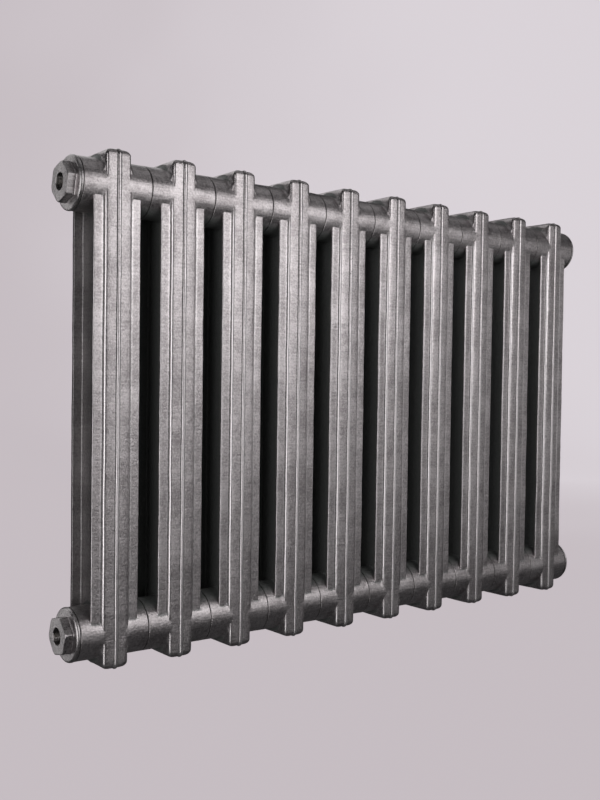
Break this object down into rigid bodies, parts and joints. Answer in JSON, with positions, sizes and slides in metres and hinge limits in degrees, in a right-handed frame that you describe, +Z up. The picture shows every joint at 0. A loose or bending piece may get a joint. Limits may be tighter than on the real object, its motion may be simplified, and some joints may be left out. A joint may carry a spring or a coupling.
{
  "type": "cast iron radiator",
  "caption": "Single column hot water radiator of joined hollow cast sections with finned fronts, bored bushes at one end and blind plugs at the other.",
  "frame": {"origin": "centre of the radiator's length and depth, level with the lowest points of the sections", "axes": "+X along the radiator to the end with the blind plugs, -Y the front, +Z up"},
  "size_m": [0.87, 0.065, 0.578],
  "materials": {
    "section_iron": "bare ground iron, satin with a fine mottle",
    "fitting_iron": "bare machined iron, satin",
    "nipple_iron": "bare malleable iron",
    "joint_gasket": "dark pressed fibre gasket"
  },
  "bodies": {
    "root": {"section_01": "section_iron", "section_02": "section_iron", "section_03": "section_iron", "section_04": "section_iron", "section_05": "section_iron", "section_06": "section_iron", "section_07": "section_iron", "section_08": "section_iron", "section_09": "section_iron", "section_10": "section_iron", "nipple_top_01": "nipple_iron", "nipple_top_02": "nipple_iron", "nipple_top_03": "nipple_iron", "nipple_top_04": "nipple_iron", "nipple_top_05": "nipple_iron", "nipple_top_06": "nipple_iron", "nipple_top_07": "nipple_iron", "nipple_top_08": "nipple_iron", "nipple_top_09": "nipple_iron", "nipple_bottom_01": "nipple_iron", "nipple_bottom_02": "nipple_iron", "nipple_bottom_03": "nipple_iron", "nipple_bottom_04": "nipple_iron", "nipple_bottom_05": "nipple_iron", "nipple_bottom_06": "nipple_iron", "nipple_bottom_07": "nipple_iron", "nipple_bottom_08": "nipple_iron", "nipple_bottom_09": "nipple_iron", "gasket_top_01": "joint_gasket", "gasket_top_02": "joint_gasket", "gasket_top_03": "joint_gasket", "gasket_top_04": "joint_gasket", "gasket_top_05": "joint_gasket", "gasket_top_06": "joint_gasket", "gasket_top_07": "joint_gasket", "gasket_top_08": "joint_gasket", "gasket_top_09": "joint_gasket", "gasket_bottom_01": "joint_gasket", "gasket_bottom_02": "joint_gasket", "gasket_bottom_03": "joint_gasket", "gasket_bottom_04": "joint_gasket", "gasket_bottom_05": "joint_gasket", "gasket_bottom_06": "joint_gasket", "gasket_bottom_07": "joint_gasket", "gasket_bottom_08": "joint_gasket", "gasket_bottom_09": "joint_gasket", "gasket_top_left_end": "joint_gasket", "gasket_top_right_end": "joint_gasket", "gasket_bottom_left_end": "joint_gasket", "gasket_bottom_right_end": "joint_gasket", "bush_top_left": "fitting_iron", "bush_bottom_left": "fitting_iron", "plug_top_right": "fitting_iron", "plug_bottom_right": "fitting_iron"}
  },
  "joints": []
}
